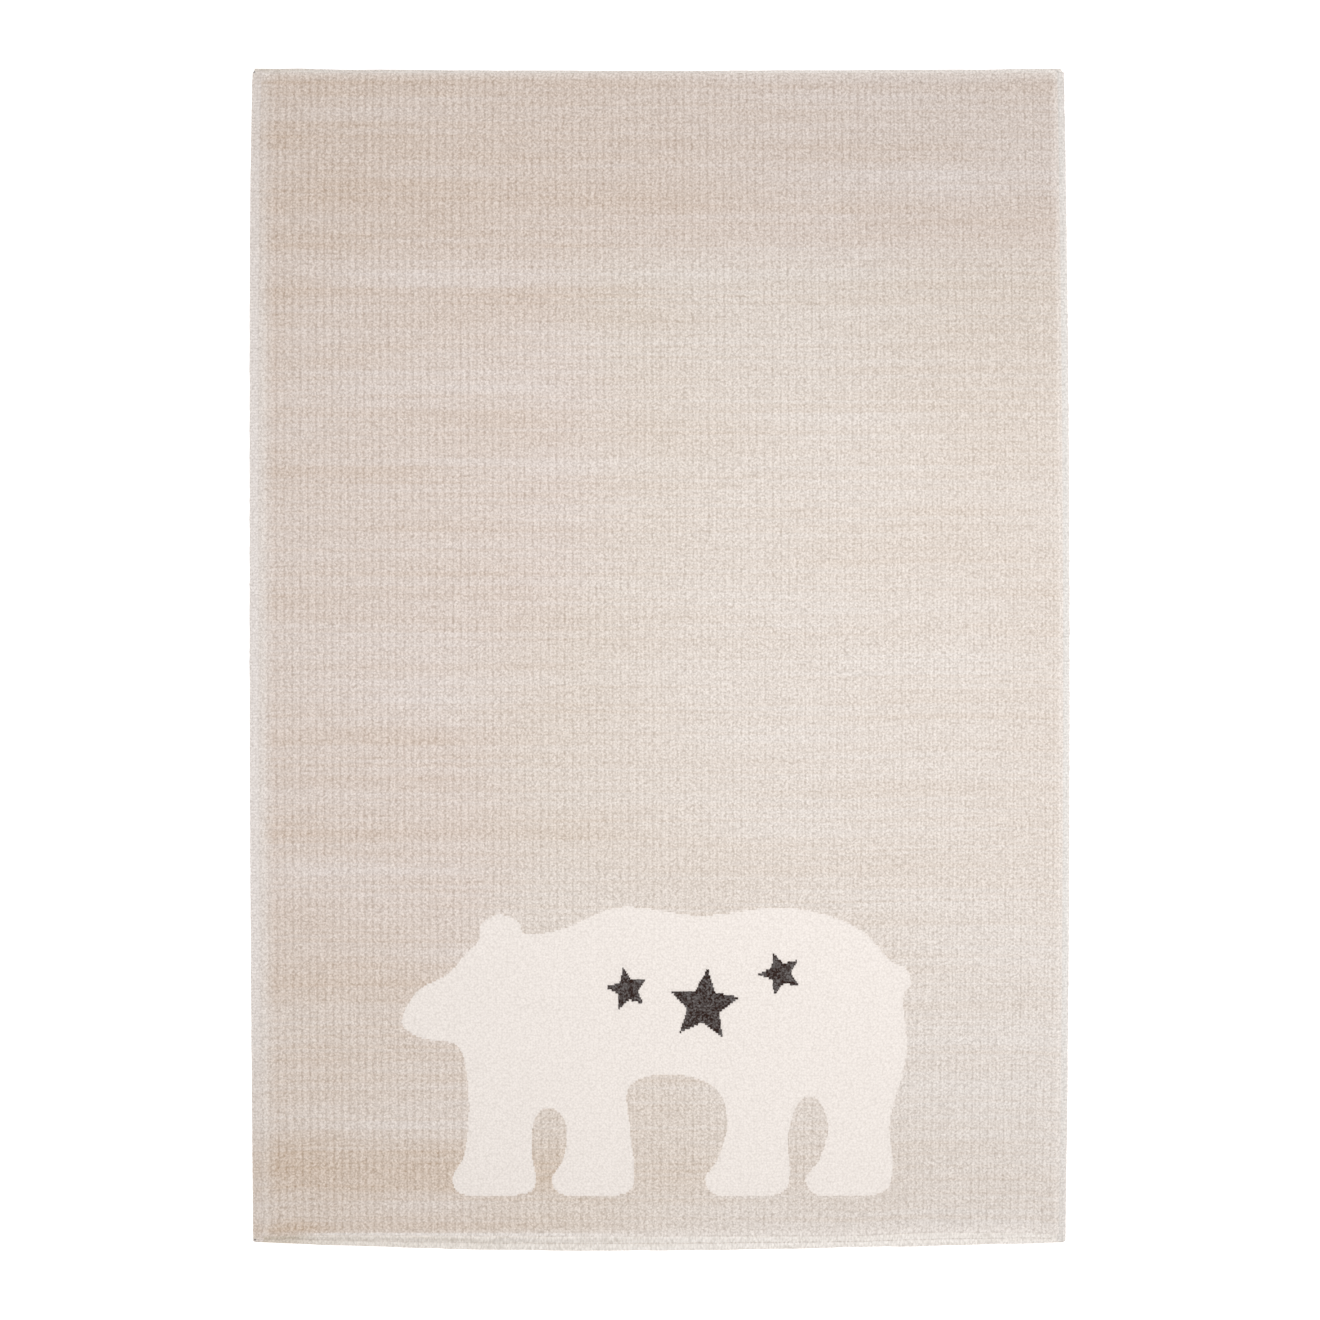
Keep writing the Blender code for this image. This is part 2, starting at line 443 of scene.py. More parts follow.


# %% [markdown]
# ## Tufts
# Pile is thousands of cut yarn ends.  A Voronoi pattern about 4 mm wide paints shade into the gap round
# every tuft, a finer one gives each yarn end its own tone, and noise gives the single fibres.

# %% Tuft pattern
TUFT = (4.3 * MM, 4.1 * MM)
YARN_END = (2.1 * MM, 2.2 * MM)
FIBRE = 0.7 * MM


def cells(look, vector, size, output):
    """Rounded cells of about a size: their random colours, or the distance from their middles."""
    places = look.stretched(vector, (1 / size[0], 1 / size[1], 1.0))
    return look.node("ShaderNodeTexVoronoi", {"Vector": places, "Scale": 1.0, "Randomness": 0.85},
                     output=output, voronoi_dimensions="2D")


def tuft_tone(look, plan, single, fibre, painted_gap_shade):
    """Brightness of the yarn ends and the fibres, and painted shade in the gaps between tufts, around 1.
    """
    tint = look.part(cells(look, plan, YARN_END, "Color"), "X")
    rim = cells(look, plan, TUFT, "Distance")
    hair = look.noise(plan, 1 / FIBRE, 2.0, 0.6)
    tone = 1.0 + look.range(tint, 0.0, 1.0, -single, single)
    tone = tone + look.range(hair, 0.25, 0.75, -fibre, fibre)
    return tone + look.range(rim, 0.15, 0.70, painted_gap_shade, -painted_gap_shade), rim, hair


# %% [markdown]
# ## The beige pile
# The yarn is heathered: single tufts differ in tone, and long streaks lie across the rug where the
# dye lots change.  The left side and the back end are darker, warmer and a trace rosier.  A few
# streaks stand out and are listed one by one, and noise gives the rest.  This pattern is colour, and
# so are painted shade in the ribs' grooves and painted light at the pile's rim.  The ribs are real
# shape.

# %% Yarns and streaks of the beige pile
PALE = shade(221, 213, 207)
# The colour of the light edge fibres, also used as painted light at the pile's rim.
EDGE_FIBRE_AND_LIGHT = shade(228, 220, 214)
SAND = shade(204, 185, 167)
ROSE = (1.0, 0.986, 1.0, 1.0)  # takes a little green out of a colour that it multiplies

Streak = namedtuple("Streak", "along half left right tone")
STREAKS = [Streak(*row) for row in (
    (0.935, 0.013, -0.70, 0.70, -0.07),
    (0.830, 0.015, -0.34, 0.52, -0.08),
    (0.791, 0.016, -0.70, 0.52, 0.10),
    (0.742, 0.015, -0.70, 0.10, -0.10),
    (0.718, 0.036, 0.28, 0.70, -0.12),
    (0.641, 0.026, -0.70, 0.70, 0.08),
    (0.592, 0.017, -0.70, -0.08, -0.12),
    (0.470, 0.150, -0.60, -0.10, 0.09),
    (0.407, 0.009, -0.70, -0.12, -0.07),
    (0.314, 0.016, -0.42, -0.02, 0.07),
    (0.113, 0.013, -0.70, -0.30, 0.07),
    (0.066, 0.012, -0.46, 0.12, -0.07),
    (0.044, 0.010, 0.12, 0.70, -0.14),
    (0.000, 0.020, 0.28, 0.70, 0.07),
    (-0.131, 0.011, -0.70, -0.34, -0.09),
    (-0.213, 0.014, -0.70, -0.32, 0.08),
    (-0.275, 0.016, -0.70, -0.06, -0.12),
    (-0.340, 0.014, -0.62, -0.30, 0.11),
    (-0.539, 0.030, -0.70, -0.30, -0.18),
    (-0.600, 0.013, -0.66, -0.30, 0.06),
    (-0.617, 0.020, 0.30, 0.70, 0.10),
    (-0.750, 0.024, -0.68, -0.30, 0.16),
    (-0.828, 0.048, -0.70, -0.10, -0.32),
    (-0.842, 0.013, 0.30, 0.70, -0.10),
    (-0.930, 0.012, -0.70, -0.54, -0.25),
)]
print(len(STREAKS), "streaks placed by hand")


# %% Tone of the streaks
def streak_tone(look, plan):
    """The listed streaks, with ragged rims."""
    rag = look.noise(look.stretched(plan, (9.0, 30.0, 1.0)), 1.0, 3.0, 0.6)
    along = look.part(plan, "Y") + look.range(rag, 0.3, 0.7, -8 * MM, 8 * MM)
    across = look.part(plan, "X") + look.range(rag, 0.3, 0.7, -60 * MM, 60 * MM)
    tone = 0.0
    for streak in STREAKS:
        off = look.maths("ABSOLUTE", along - streak.along)
        share = look.range(off, streak.half * 0.4, streak.half * 1.4, streak.tone, 0.0)
        share = share * look.range(across, streak.left - 0.03, streak.left + 0.03, 0.0, 1.0)
        share = share * look.range(across, streak.right - 0.05, streak.right + 0.05, 1.0, 0.0)
        tone = share + tone
    return tone


# %% Colour of the beige yarn
def rosy_share(look, across, along, broad):
    """Where the yarn is rosier: over the whole back end, and along the left side."""
    ragged = across + look.range(broad, 0.3, 0.7, -50 * MM, 50 * MM)
    left = look.range(ragged + look.range(along, 0.0, 0.15, 0.16, 0.0), -0.18, -0.02, 1.0, 0.0)
    left = left * look.range(along, -0.6, -0.4, 0.5, 1.0)
    return look.maths("MAXIMUM", left, look.range(along, 0.62, 0.69, 0.0, 1.0))


def yarn_colour(look, plan):
    """The streaked beige of the rug at a place of the plan, and how dark that side of it is."""
    across, along = look.part(plan, "X"), look.part(plan, "Y")
    off_middle = look.maths("ABSOLUTE", along + 0.05)
    dark_side = look.maths("ADD", across * -0.55 + off_middle * 0.40, 0.25, clamp=True)
    back_part = look.range(along, 0.35, 0.75, 0.0, 1.0)
    front_right = look.range(along, -0.75, -0.35, 1.0, 0.0) * look.range(across, 0.0, 0.45, 0.0, 1.0)
    far_right = look.range(along, -0.45, -0.20, 0.0, 1.0) * look.range(across, 0.3, 0.6, 0.0, 1.0)
    far_right = far_right * look.range(along, 0.70, 0.80, 1.0, 0.0)
    streaks = look.noise(look.stretched(plan, (1.7, 15.0, 1.0)), 1.0, 5.0, 0.6)
    broad = look.noise(look.stretched(plan, (2.1, 5.0, 1.0), (3.1, 1.7, 0.0)), 1.0, 2.0, 0.5)
    threads = look.noise(look.stretched(plan, (1.3, 170.0, 1.0)), 1.0, 0.0, 0.5)
    tone = look.range(streaks, 0.35, 0.65, -1.0, 1.0) * (0.035 + dark_side * 0.14)
    tone = tone + look.range(broad, 0.3, 0.7, -0.08, 0.08) - dark_side * 0.44
    tone = tone + look.range(threads, 0.3, 0.7, -0.10, 0.10) - back_part * 0.08
    tone = tone + streak_tone(look, plan) + front_right * 0.14 - far_right * 0.11
    colour = look.blend(SAND, PALE, look.maths("ADD", tone, 0.86, clamp=True))
    colour = look.blend(colour, ROSE, rosy_share(look, across, along, broad), "MULTIPLY")
    greyer = back_part * look.range(across, -0.3, 0.4, 0.01, 0.07) + front_right * 0.02
    return look.scaled(colour, 1.0 - greyer), dark_side


# %% Look of the ribbed pile
def stray_fibres_and_painted_light(look, plan):
    """The share of light edge fibres that stray into the pile near each of its borders, and of painted
    light that lifts the shade of the pile's sloping rim.
    """
    across, along = look.part(plan, "X"), look.part(plan, "Y")
    off_middle = look.maths("ABSOLUTE", along)
    # Light stray fibres together with painted light against the shade of the rounded rim, at both sides
    # and both ends.
    left = look.range(across, left_inner - 2 * MM, left_inner + 22 * MM, 0.90, 0.0)
    left = left * look.range(off_middle, 0.5, 0.85, 1.0, 0.45)
    right = look.range(across, right_inner - 8 * MM, right_inner, 0.0, 0.5)
    front = look.range(along, front_foot, front_foot + 14 * MM, 1.0, 0.0)
    front = front * look.range(across, -0.6, 0.2, 0.0, 0.8)
    back = look.range(along, back_foot - 12 * MM, back_foot, 0.0, 0.5)
    # Painted light on the first row of pile along part of the front hem.
    front_row_painted_light = look.range(along, front_foot - 1 * MM, front_foot + 2 * MM, 1.2, 0.0)
    front_row_painted_light = front_row_painted_light * look.range(across, -0.60, -0.54, 0.0, 1.0)
    front_row_painted_light = front_row_painted_light * look.range(across, -0.2, 0.0, 1.0, 0.0)
    return left + right + front + back + front_row_painted_light


def ribbed_pile_look():
    look = Look("beige_ribbed_pile", {"Specular IOR Level": 0.1})
    plan = look.plan()
    colour, dark_side = yarn_colour(look, plan)
    phase = (look.part(plan, "X") - left_inner) * (2 * math.pi / rib_pitch)
    # Painted shade: the ribs' grooves darker and their middles lighter, most on the rug's darker side,
    # and the grooves and the dip between the two yarn rows darker, most on its lighter side.
    rib_painted_shade = look.maths("COSINE", phase) * (0.006 + dark_side * 0.045)
    row_painted_shade = look.maths("COSINE", phase * 2) * (0.036 - dark_side * 0.036)
    tone, rim, hair = tuft_tone(look, plan, 0.135, 0.09, 0.095)
    light = stray_fibres_and_painted_light(look, plan) * look.range(hair, 0.3, 0.7, 0.5, 1.5)
    colour = look.blend(colour, EDGE_FIBRE_AND_LIGHT, light)
    look.colour(look.grained(colour, tone - rib_painted_shade - row_painted_shade, PALE[1]))
    look.roughness(look.range(hair, 0.2, 0.8, 0.88, 1.0))
    look.bump(hair * 0.35 - rim, 1.1 * MM, 0.6)
    return look.material


# %% [markdown]
# ## The level pile of the motif
# Cream yarn is sheared level, with no ribs, and shows only a fine even grain.  The charcoal yarn is
# a little longer and hairier, so its tufts differ more from one another.

# %% Cream and charcoal pile
CREAM = shade(232, 224, 218)
CHARCOAL = shade(74, 66, 64)
CLUMP = 13 * MM  # tufts of the longer pile lean together in clumps of this size


def cream_pile_look():
    look = Look("cream_level_pile", {"Specular IOR Level": 0.15, "Sheen Weight": 0.1})
    plan = look.plan()
    tone, rim, hair = tuft_tone(look, plan, 0.055, 0.04, 0.055)
    look.colour(look.grained(CREAM[:3], tone, CREAM[1]))
    look.roughness(look.range(hair, 0.2, 0.8, 0.9, 1.0))
    look.bump(hair * 0.5 - rim * 0.8, 0.6 * MM, 0.6)
    return look.material


def charcoal_pile_look():
    look = Look("charcoal_pile", {"Specular IOR Level": 0.15})
    plan = look.plan()
    tone, rim, hair = tuft_tone(look, plan, 1.1, 0.6, 0.5)
    lean = look.noise(plan, 1 / CLUMP, 3.0, 0.6)
    tone = look.maths("MAXIMUM", tone + look.range(lean, 0.3, 0.7, -1.1, 1.1), 0.2)
    look.colour(look.grained(CHARCOAL[:3], tone, CHARCOAL[1]))
    look.roughness(look.range(hair, 0.2, 0.8, 0.9, 1.0))
    look.bump(hair * 0.5 - rim * 0.8, 1.2 * MM, 0.6)
    return look.material


# %% [markdown]
# ## Overcast yarn, thread and ground cloth
# The edge yarn is two-ply, so fine slanting lines run over every turn.  The ground cloth is a plain
# weave of off-white yarn that shows on the hems and under the rug.  On the front hem the slope from
# the crease up to the ridge gets painted shade, most of all at the left, and the slope down to the
# pile gets painted light.  The fold of the back hem gets a line of painted shade.

# %% Look of the edge yarn
EDGE_SHADE = 3.2 * MM  # below this height the yarn and cloth at the rug's rim get painted shade


def rim_shade(look, amount):
    """Painted shade on the lowest yarn and cloth at the rug's rim, where they meet the floor."""
    height = look.part(look.place(), "Z")
    return look.range(height, 0.5 * MM, EDGE_SHADE, amount, 0.0)


def yarn_look(name, base, heather, ply=1.7 * MM):
    """Two-ply yarn; heather is the share of the pile's own streaked colour in it."""
    look = Look(name, {"Specular IOR Level": 0.2, "Sheen Weight": 0.2})
    plan = look.plan()
    across, along = look.part(plan, "X"), look.part(plan, "Y")
    near_front = look.range(along, -0.85, -0.5, 1.0, 0.0)
    near_back = look.range(along, 0.5, 0.85, 0.0, 0.35)
    twist = look.maths("SINE", across * (2 * math.pi / ply) + along * (2 * math.pi / (3 * ply)))
    # Painted shade where two turns of the yarn meet, and painted light on the middle of each turn.
    turns = look.maths("COSINE", (along - FRONT.corner_y) * (2 * math.pi / TURN))
    tone, _, hair = tuft_tone(look, plan, 0.10, 0.07, 0.08)
    tone = tone + twist * 0.03 - turns * 0.03 - rim_shade(look, 0.10)
    streaked = yarn_colour(look, plan)[0]
    share = (near_front + near_back + 0.3) * heather
    look.colour(look.grained(look.blend(base, streaked, share), tone, base[1]))
    look.roughness(look.range(hair, 0.2, 0.8, 0.82, 1.0))
    look.bump(twist * 0.5 + hair * 0.5, 0.35 * MM, 0.7)
    return look.material


# %% Look of the ground cloth
WEAVE = 2.2 * MM


def woven_look(name, base, dark):
    """Plain weave: base is the face of its yarn, and dark its soiled parts; dark also gives painted
    shade in the gaps of the weave.
    """
    look = Look(name, {"Specular IOR Level": 0.2, "Sheen Weight": 0.1})
    plan = look.plan()
    across, along = look.part(plan, "X"), look.part(plan, "Y")
    warp = look.maths("SINE", across * (2 * math.pi / WEAVE))
    weft = look.maths("SINE", along * (2 * math.pi / WEAVE))
    over = warp * weft
    tone, _, hair = tuft_tone(look, plan, 0.10, 0.08, 0.08)
    slubs = look.noise(look.stretched(plan, (12.0, 260.0, 1.0)), 1.0, 2.0, 0.6)
    # The gaps of the weave get painted shade.
    share = look.range(over, -1.0, 1.0, 0.25, 0.0) + look.range(slubs, 0.35, 0.65, 0.0, 0.2)
    share = share + look.range(across, -0.7, 0.1, 0.35, 0.0) + look.range(across, -0.62, -0.56, 0.6, 0.0)
    share = share * look.range(along, 0.0, 0.9, 1.0, 0.4)
    in_hem = (along - FRONT.corner_y) * (1 / FRONT.foot)
    # Painted shade on the front hem's slope from the crease up to the ridge, painted light on the
    # ridge's slope towards the pile, both strongest at the left, and a line of painted shade along the
    # back fold.
    slope_painted_shade = look.maths("ABSOLUTE", in_hem - (CREASE_SHARE + RIDGE_SHARE) / 2)
    slope_painted_shade = look.range(slope_painted_shade, 0.05, 0.20, 1.0, 0.0) * look.range(across, -0.3, 0.3, 0.13, 0.0)
    ridge_painted_light = look.maths("ABSOLUTE", in_hem - LIT_SHARE)
    ridge_painted_light = look.range(ridge_painted_light, 0.0, 0.12, 1.0, 0.0) * look.range(across, -0.3, 0.3, 0.16, 0.03)
    fold_painted_shade = look.range(BACK.corner_y - along, 0.0, 4 * MM, 0.16, 0.0)
    tone = tone + 0.06 - slope_painted_shade + ridge_painted_light - fold_painted_shade - rim_shade(look, 0.08)
    look.colour(look.grained(look.blend(base, dark, share), tone, base[1]))
    look.roughness(look.range(hair, 0.2, 0.8, 0.85, 1.0))
    look.bump(over * 0.5 + hair * 0.5, 0.4 * MM, 0.7)
    return look.material


# %% Make the looks
beige_look = ribbed_pile_look()
cream_look = cream_pile_look()
charcoal_look = charcoal_pile_look()
left_yarn_look = yarn_look("edge_yarn_left", shade(232, 225, 221), 0.6)
right_yarn_look = yarn_look("edge_yarn_right", shade(225, 221, 217), 0.4)
grey_yarn_look = yarn_look("grey_yarn", shade(120, 116, 116), 0.0)
thread_look = yarn_look("sewing_thread", shade(226, 216, 206), 0.3, 0.6 * MM)
hem_look = woven_look("ground_cloth", shade(232, 226, 221), shade(206, 194, 180))
backing_look = woven_look("ground_cloth_back", shade(206, 192, 172), shade(170, 150, 126))
print("looks:", ", ".join(material.name for material in bpy.data.materials))

# %% [markdown]
# ## The motif
# A walking bear, seen from the side, with three stars on its flank.  The bear is a closed smooth
# line through listed points, and a star is worked out from its radius.  Later every little
# face of the pile asks whether its middle lies inside such a line, just as a loom picks a yarn
# colour for every tuft, so the motif gets the same stepped edge as the woven one.

# %% Motif outlines
BEAR_UNIT = 8.6 * MM
BEAR_FEET = (16 * MM, -0.872)
BEAR = (
    (-50.5, 34.5), (-47.5, 39.0), (-42.0, 42.0), (-38.5, 46.0), (-36.2, 48.2), (-35.8, 51.2),
    (-32.4, 53.2), (-28.6, 51.8), (-27.2, 49.4), (-20.0, 50.6), (-9.0, 54.6), (6.0, 53.0),
    (22.0, 54.5), (35.0, 51.0), (42.0, 44.2), (44.8, 42.8), (45.8, 39.6), (44.4, 36.8),
    (45.0, 26.0), (42.0, 14.0), (42.6, 5.0), (41.0, 0.6), (35.0, 0.0), (28.0, 0.2),
    (26.0, 3.2), (28.6, 7.0), (30.2, 13.0), (28.0, 18.4), (24.6, 17.6), (22.6, 11.0),
    (23.0, 4.0), (21.4, 0.5), (15.0, 0.0), (8.8, 0.2), (6.8, 3.2), (9.2, 7.0),
    (11.0, 14.0), (8.5, 20.5), (0.0, 23.0), (-7.6, 20.6), (-7.4, 12.0), (-6.6, 4.0),
    (-8.2, 0.5), (-14.0, 0.0), (-20.4, 0.2), (-22.4, 3.2), (-20.2, 7.0), (-19.6, 13.0),
    (-22.4, 16.6), (-25.6, 14.6), (-26.2, 8.0), (-25.4, 3.0), (-27.0, 0.5), (-33.0, 0.0),
    (-39.4, 0.2), (-41.4, 3.2), (-39.2, 7.4), (-38.2, 15.0), (-38.6, 23.0), (-40.4, 28.4),
    (-46.5, 29.6), (-50.3, 31.6),
)
Star = namedtuple("Star", "x y radius turn")
STARS = (
    Star(-8.0, 39.0, 4.2, 0.20),
    Star(6.5, 36.0, 7.0, -0.10),
    Star(21.0, 42.0, 4.2, 0.35),
)


# %% Lines round the motif
def rounded(points, steps=8):
    """A smooth closed line through the points."""
    knots = np.array(points)
    before, after, later = (np.roll(knots, shift, axis=0) for shift in (1, -1, -2))
    line = []
    for step in range(steps):
        t = step / steps
        line.append(0.5 * (2 * knots + (after - before) * t
                           + (2 * before - 5 * knots + 4 * after - later) * t ** 2
                           + (3 * knots - before - 3 * after + later) * t ** 3))
    return np.stack(line, axis=1).reshape(-1, 2)


def star_line(star, points=5, waist=0.46):
    """The outline of a star; waist is the share of its radius at its inner corners."""
    turns = np.pi / 2 + star.turn + np.arange(2 * points) * np.pi / points
    radius = np.where(np.arange(2 * points) % 2 == 0, star.radius, star.radius * waist)
    return np.stack([star.x + radius * np.cos(turns), star.y + radius * np.sin(turns)], axis=1)


def inside(line, x, y):
    """True for the places that a closed line goes round."""
    found = np.zeros(len(x), bool)
    for (x0, y0), (x1, y1) in zip(line, np.roll(line, -1, axis=0)):
        if y0 != y1:
            crosses = (y0 > y) != (y1 > y)
            found ^= crosses & (x < x0 + (y - y0) * (x1 - x0) / (y1 - y0))
    return found


bear_line = rounded(BEAR)
star_lines = [star_line(star) for star in STARS]
print(f"bear line of {len(bear_line)} points, {len(star_lines)} stars")


def motif_masks(x, y):
    """Which places lie in the bear, and which in a star."""
    x, y = (x - BEAR_FEET[0]) / BEAR_UNIT, (y - BEAR_FEET[1]) / BEAR_UNIT
    stars = np.any([inside(line, x, y) for line in star_lines], axis=0)
    return inside(bear_line, x, y) & ~stars, stars


# %% [markdown]
# ## One rib
# One rib is a narrow grid, six faces across, whose columns are lifted to the rib's section: a
# groove, a shoulder, two yarn rows with a slight dip between them, and a shoulder again.

# %% Model one rib
BLOCKS_ACROSS = 4
BLOCKS_ALONG = 4
ROWS = 146
block_ribs = RIBS // BLOCKS_ACROSS
block_length = (back_foot - front_foot) / BLOCKS_ALONG
block_width = block_ribs * rib_pitch

GROOVE, SHOULDER, YARN_ROW, DIP = 9.7 * MM, 10.5 * MM, 10.9 * MM, 10.6 * MM
RIB = (GROOVE, SHOULDER, YARN_ROW, DIP, YARN_ROW, SHOULDER, GROOVE)
RIB_FACES = len(RIB) - 1
PILE_ROOT = 2.0 * MM

deselect()
bpy.ops.mesh.primitive_grid_add(x_subdivisions=RIB_FACES, y_subdivisions=ROWS, size=1)
rib = name_piece("rib")
edit(rib, action="SELECT")
bpy.ops.transform.resize(value=(rib_pitch, block_length, 1))
move_by(rib_pitch / 2, block_length / 2, 0)
for column, height in enumerate(RIB):
    pick(rib, lambda place: abs(place.x - column / RIB_FACES * rib_pitch) < NEAR)
    move_by(0, 0, height)
leave_edit()
print("one rib:", len(rib.data.polygons), "faces")

# %% [markdown]
# ## A block of ribs, and its copies
# An array sets 25 ribs side by side.  Sixteen copies of that block cover the rug, which keeps each
# mesh light.  The faces inside the motif are separated from the blocks that they lie in.

# %% Lay out the blocks
array(rib, block_ribs, (rib_pitch, 0, 0))
block = rib
parts = {"bear": [], "star": []}
pile = []


def split_off(piece, mask, kind):
    """Separates the faces of the mask into a piece of their own."""
    if not mask.any():
        return
    edit(piece, kind="FACE")
    leave_edit()
    piece.data.polygons.foreach_set("select", mask)
    bpy.ops.object.mode_set(mode="EDIT")
    bpy.ops.mesh.separate(type="SELECTED")
    leave_edit()
    parts[kind] += [other for other in bpy.context.selected_objects if other != piece]


def face_middles(piece):
    middles = np.empty(len(piece.data.polygons) * 3, np.float32)
    piece.data.polygons.foreach_get("center", middles)
    return middles.reshape(-1, 3).astype(float)


for row in range(BLOCKS_ALONG):
    for column in range(BLOCKS_ACROSS):
        only(block)
        bpy.ops.object.duplicate()
        piece = name_piece(f"ribbed_pile_{row + 1}_{column + 1}")
        piece.location = (left_inner + column * block_width, front_foot + row * block_length, 0)
        bpy.ops.object.transform_apply(location=True)
        for index, kind in enumerate(parts):
            middles = face_middles(piece)
            split_off(piece, motif_masks(middles[:, 0], middles[:, 1])[index], kind)
        pile.append(piece)
bpy.data.objects.remove(block, do_unlink=True)
print(len(pile), "blocks, motif parts:", {kind: len(found) for kind, found in parts.items()})

# %% [markdown]
# ## Shear the motif level
# The separated parts are joined, their seams merged, and they are pressed nearly flat at their own
# pile height by scaling them in Z about that height.

# %% The motif's pile
BEAR_HEIGHT = 10.2 * MM
STAR_HEIGHT = 10.9 * MM
SHEARED = 0.05  # the share of the ribs' relief that is left


def join(pieces, name):
    """Makes one piece of several."""
    deselect()
    for piece in pieces:
        piece.select_set(True)
    bpy.context.view_layer.objects.active = pieces[0]
    bpy.ops.object.join()
    return name_piece(name)


def shear_level(piece, height):
    """Presses a piece nearly flat, at a pile height of its own."""
    edit(piece, action="SELECT")
    bpy.ops.mesh.remove_doubles(threshold=MERGE)
    middle = (GROOVE + YARN_ROW) / 2
    bpy.ops.transform.resize(value=(1, 1, SHEARED), center_override=(0, 0, middle))
    move_by(0, 0, height - middle)
    leave_edit()


bear = join(parts["bear"], "bear_pile")
stars = join(parts["star"], "star_pile")
shear_level(bear, BEAR_HEIGHT)
shear_level(stars, STAR_HEIGHT)
print("motif faces:", len(bear.data.polygons), len(stars.data.polygons))

# %% [markdown]
# ## Give the pile its depth and its unevenness
# The open rim of each piece is extruded down into the ground cloth and closed, so that pile is a
# solid layer.  Then soft cloud patterns push the tufts: a broad lie of the pile, and the small
# differences from tuft to tuft, up, across and along.

# %% Round and lean the rim
Border = namedtuple("Border", "axis place sign")
BORDERS = (
    Border("x", left_inner, -1),
    Border("x", right_inner, +1),
    Border("y", front_foot, -1),
    Border("y", back_foot, +1),
)
SPLAY = 2.5 * MM  # how far the outermost tufts lean out over the edge yarn
RIM = 15 * MM  # the width of the rounded rim of the pile
RIM_DROP = 0.40  # the share of the pile's height that is lost at its border


def rounded_off(x, y, z):
    """The pile sinks towards the rug's rim, where few tufts hold each other up."""
    inset = np.min([x - left_inner, right_inner - x, y - front_foot, back_foot - y], axis=0)
    off_rim = np.clip(inset / RIM, 0, 1)
    return x, y, PILE_ROOT + (z - PILE_ROOT) * (1 - RIM_DROP * (1 - off_rim) ** 2)


def lean_out(piece):
    """The outermost tufts of the rug lean out over its edges."""
    for border in BORDERS:
        pick(piece, lambda place: abs(getattr(place, border.axis) - border.place) < NEAR
             and place.z > PILE_ROOT)
        step = border.sign * SPLAY
        across, along = (step, 0) if border.axis == "x" else (0, step)
        move_by(across, along, 0)


# %% Finish the pile
LIE = 45 * MM  # the size of the patches in which the pile lies alike
TUFT_PUSHES = (("Z", 2.6 * MM), ("X", 3.1 * MM), ("Y", 3.7 * MM))
SKIRT = 4 * MM  # drawn down from the rim, then flattened at the pile's root


def finish_pile(piece, slot, finish, lie, tuft):
    """Gives a surface of pile its depth, its unevenness, its place and its look."""
    edit(piece)
    lean_out(piece)
    edit(piece, kind="EDGE", action="SELECT")
    bpy.ops.mesh.region_to_loop()
    extrude(0, 0, -SKIRT)
    bpy.ops.transform.resize(value=(1, 1, 0), center_override=(0, 0, PILE_ROOT))
    bpy.ops.mesh.fill(use_beauty=False)
    face_outwards()
    keep_plan(piece)
    move_points(piece, rounded_off)
    uneven(piece, "Z", LIE, lie)
    for axis, size in TUFT_PUSHES:
        uneven(piece, axis, size, tuft)
    dress(piece, slot, finish)


for piece in pile:
    finish_pile(piece, "ribbed_pile", beige_look, lie=0.5 * MM, tuft=0.4 * MM)
finish_pile(bear, "cream_pile", cream_look, lie=0.3 * MM, tuft=0.6 * MM)
finish_pile(stars, "charcoal_pile", charcoal_look, lie=0.4 * MM, tuft=1.8 * MM)
print("pile faces:", sum(len(piece.data.polygons) for piece in (*pile, bear, stars)))

# %% [markdown]
# ## The ground cloth and its hems
# The cloth starts as a flat grid.  Each end edge is then extruded step by step, as a needle would
# take it: up onto the turned part, down into the sewn crease, over the fold and back underneath.
# A Solidify modifier gives it the thickness of the cloth.  The turned flap shows the cloth's
# off-white face from below, and the rest of the underside its coarser back.

# %% Path of a hem
CLOTH = 2.2 * MM
CLOTH_LIFT = 0.2 * MM
LAYER_GAP = 0.35 * MM
LOW_LAYER = CLOTH / 2 + CLOTH_LIFT
HIGH_LAYER = LOW_LAYER + CLOTH + LAYER_GAP

HemStep = namedtuple("HemStep", "share beyond height")
HEM_PATH = (
    HemStep(1.00, 22 * MM, LOW_LAYER),
    HemStep(1.00, 14 * MM, LOW_LAYER + 1.0 * MM),
    HemStep(1.00, 7 * MM, HIGH_LAYER - 0.3 * MM),
    HemStep(1.00, 0, HIGH_LAYER),
    HemStep(0.90, 0, HIGH_LAYER - 0.2 * MM),
    HemStep(0.80, 0, HIGH_LAYER + 0.1 * MM),
    HemStep(RIDGE_SHARE, 0, HIGH_LAYER + 0.6 * MM),
    HemStep(0.56, 0, HIGH_LAYER + 0.2 * MM),
    HemStep(0.45, 0, HIGH_LAYER - 0.3 * MM),
    HemStep(CREASE_SHARE, 0, HIGH_LAYER - 0.6 * MM),
    HemStep(0.27, 0, HIGH_LAYER - 0.2 * MM),
    HemStep(0.20, 0, HIGH_LAYER + 0.05 * MM),
    HemStep(0.12, 0, HIGH_LAYER - 0.05 * MM),
    HemStep(0.04, 0, HIGH_LAYER - 0.5 * MM),
    HemStep(0.00, 0, (HIGH_LAYER + LOW_LAYER) / 2),
    HemStep(0.04, 0, LOW_LAYER + 0.3 * MM),
    HemStep(0.12, 0, LOW_LAYER),
    HemStep(0.60, 0, LOW_LAYER),
    HemStep(1.00, 0, LOW_LAYER),
    HemStep(1.00, 4 * MM, LOW_LAYER),
)


